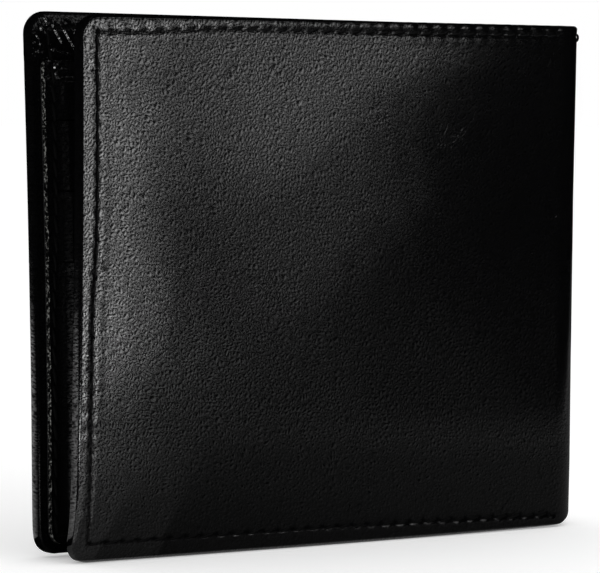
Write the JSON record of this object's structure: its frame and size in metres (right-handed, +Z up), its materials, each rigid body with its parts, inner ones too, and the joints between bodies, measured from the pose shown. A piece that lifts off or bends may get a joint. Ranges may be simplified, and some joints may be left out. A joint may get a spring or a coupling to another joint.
{
  "type": "bifold wallet",
  "caption": "Closed bifold wallet standing on its edge. Two turned-edge leather covers and a round fold open flat, with a note compartment and stepped card slots inside.",
  "frame": {"origin": "middle of the closed wallet's footprint, on the surface that its bottom edges stand on", "axes": "+X from the free edges to the fold, +Y out of the rear leaf's cover, so that the front leaf faces -Y, +Z up from the bottom edge to the top edge, where the note compartment opens"},
  "size_m": [0.112, 0.015, 0.092],
  "materials": {
    "cover_leather": "semi-gloss, fine pebble grain",
    "pocket_leather": "satin, fine grain",
    "lining_cloth": "matte twill",
    "stiffening_board": "bonded fibre board, matte"
  },
  "bodies": {
    "rear_leaf": {"rear_cover": "cover_leather", "rear_stiffener": "stiffening_board", "rear_shell_lining": "lining_cloth", "rear_inner_lining": "lining_cloth", "rear_slip_pocket": "pocket_leather", "rear_pocket_facing": "pocket_leather", "rear_card_slot_1": "pocket_leather", "rear_card_slot_2": "pocket_leather", "rear_card_pocket": "pocket_leather"},
    "spine": {"spine_leather": "cover_leather", "spine_shell_lining": "lining_cloth", "spine_inner_lining": "lining_cloth"},
    "front_leaf": {"front_cover": "cover_leather", "front_stiffener": "stiffening_board", "front_shell_lining": "lining_cloth", "front_inner_lining": "lining_cloth", "front_slip_pocket": "pocket_leather", "front_pocket_facing": "pocket_leather", "front_card_slot_1": "pocket_leather", "front_card_slot_2": "pocket_leather", "front_card_pocket": "pocket_leather"}
  },
  "joints": [
    {"name": "rear_fold", "type": "hinge", "parent": "rear_leaf", "child": "spine", "pos_m": [0.0538, 0.0053, 0.046], "axis": [0, 0, 1], "range_deg": [0, 90]},
    {"name": "front_fold", "type": "hinge", "parent": "spine", "child": "front_leaf", "pos_m": [0.0538, -0.0053, 0.046], "axis": [0, 0, 1], "range_deg": [0, 90]}
  ],
  "couplings": [
    {"joint": "front_fold", "follows": "rear_fold", "ratio": 1}
  ]
}
